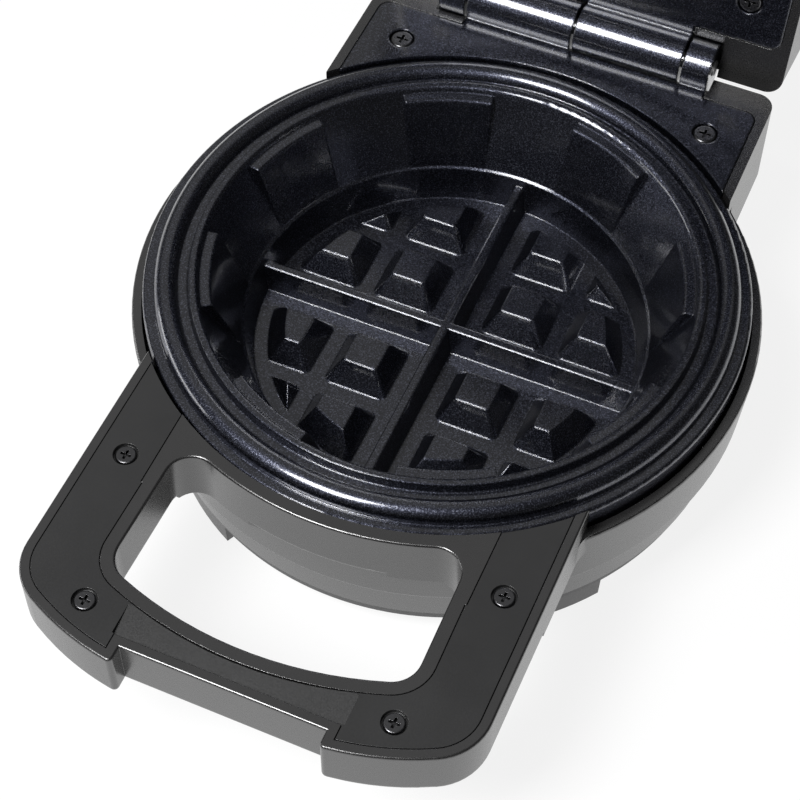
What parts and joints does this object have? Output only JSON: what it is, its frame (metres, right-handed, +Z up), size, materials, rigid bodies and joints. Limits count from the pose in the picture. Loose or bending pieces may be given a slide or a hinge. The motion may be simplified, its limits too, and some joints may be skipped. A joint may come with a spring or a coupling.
{
  "type": "stuffed waffle maker",
  "caption": "Countertop stuffed-waffle cooker with a deep fluted bowl, waffle grids above and below, and a hinged lid standing open.",
  "frame": {"origin": "on the counter, under the middle of the whole object's box with the lid open", "axes": "+Z up, -Y towards the handle, +X along the hinge pin"},
  "size_m": [0.203, 0.3671, 0.3465],
  "materials": {
    "housing_plastic": "satin dark grey moulding",
    "cover_plastic": "fine matte grey moulding",
    "coated_casting": "dark speckled non-stick coating on cast aluminium",
    "black_screw": "blackened steel",
    "pin_steel": "ground steel rod",
    "heater_steel": "dull heat-resistant steel tube",
    "reflector_sheet": "bright rolled sheet",
    "fitting_plastic": "pale heat-resistant moulding",
    "bottom_plastic": "matte black moulding",
    "pad_rubber": "soft matte rubber",
    "gland_rubber": "firm matte rubber",
    "power_lamp": "clear tinted lens",
    "ready_lamp": "clear tinted lens",
    "board_laminate": "board laminate"
  },
  "bodies": {
    "base": {"base_housing": "housing_plastic", "base_handle_cover": "cover_plastic", "base_handle_screws": "black_screw", "base_bowl_plate": "coated_casting", "base_hinge_plate": "coated_casting", "base_hinge_screws": "black_screw", "base_heating_element": "heater_steel", "base_heat_reflector": "reflector_sheet", "base_reflector_screws": "pin_steel", "base_thermostat": "fitting_plastic", "base_thermal_fuse": "fitting_plastic", "base_plate_screws": "pin_steel", "base_terminal_block": "fitting_plastic", "base_cord_gland": "gland_rubber", "base_bottom_cover": "bottom_plastic", "base_bottom_screws": "black_screw", "base_foot_pads": "pad_rubber", "hinge_pin": "pin_steel"},
    "lid": {"lid_housing": "housing_plastic", "lid_handle_cover": "cover_plastic", "lid_handle_screws": "black_screw", "lid_plate": "coated_casting", "lid_plate_screws": "pin_steel", "lid_hinge_plate": "coated_casting", "lid_hinge_screws": "black_screw", "lid_heating_element": "heater_steel", "lid_heat_reflector": "reflector_sheet", "lid_reflector_screws": "pin_steel", "lid_thermostat": "fitting_plastic", "lid_power_lens": "power_lamp", "lid_ready_lens": "ready_lamp", "lid_lamp_board": "board_laminate"}
  },
  "joints": [
    {"name": "lid_hinge", "type": "hinge", "parent": "base", "child": "lid", "pos_m": [0, 0.1018, 0.068], "axis": [1, 0, 0], "range_deg": [0, 102]}
  ]
}
